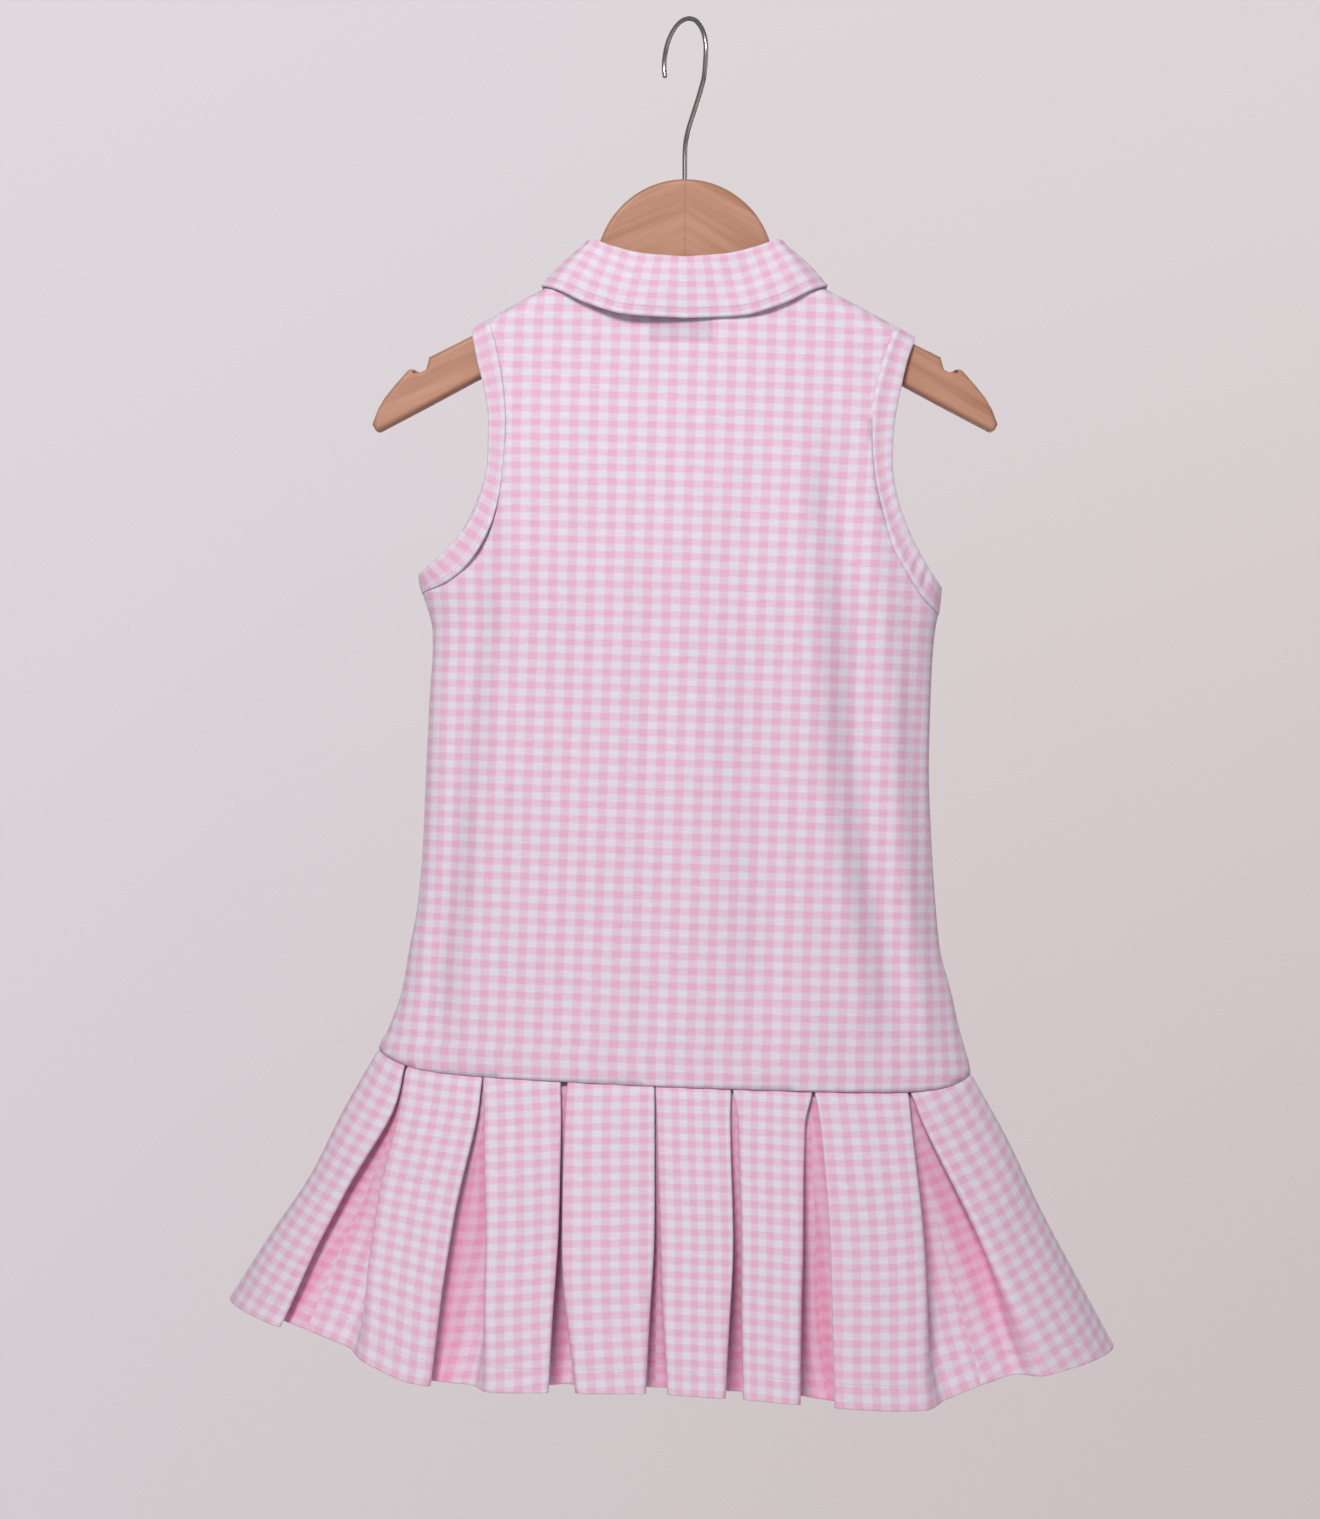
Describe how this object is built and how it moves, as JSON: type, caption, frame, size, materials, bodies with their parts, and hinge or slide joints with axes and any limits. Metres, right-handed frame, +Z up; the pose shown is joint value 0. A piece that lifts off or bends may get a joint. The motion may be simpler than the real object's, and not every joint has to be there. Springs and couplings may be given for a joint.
{
  "type": "golf dress on hanger",
  "caption": "Child's sleeveless drop-waist golf dress with folded collar and box-pleated skirt, hanging open on a flat wooden hanger with a wire hook",
  "frame": {"origin": "inner top of the hook, where the hanger bears on its rail", "axes": "+Z up, the back of the dress faces -Y and its front +Y, the hanger's arms run along X"},
  "size_m": [0.4861, 0.1777, 0.7501],
  "materials": {
    "gingham": "matte knit",
    "label_tape": "matte",
    "button": "satin",
    "hanger_wood": "satin lacquer",
    "hook_wire": "satin"
  },
  "bodies": {
    "root": {"back_panel": "gingham", "front_panel": "gingham", "collar": "gingham", "placket": "gingham", "button_1": "button", "button_2": "button", "button_3": "button", "armhole_band_left": "gingham", "armhole_band_right": "gingham", "skirt_back": "gingham", "skirt_front": "gingham", "neck_label": "label_tape", "hanger_board": "hanger_wood", "hanger_hook": "hook_wire"}
  },
  "joints": []
}
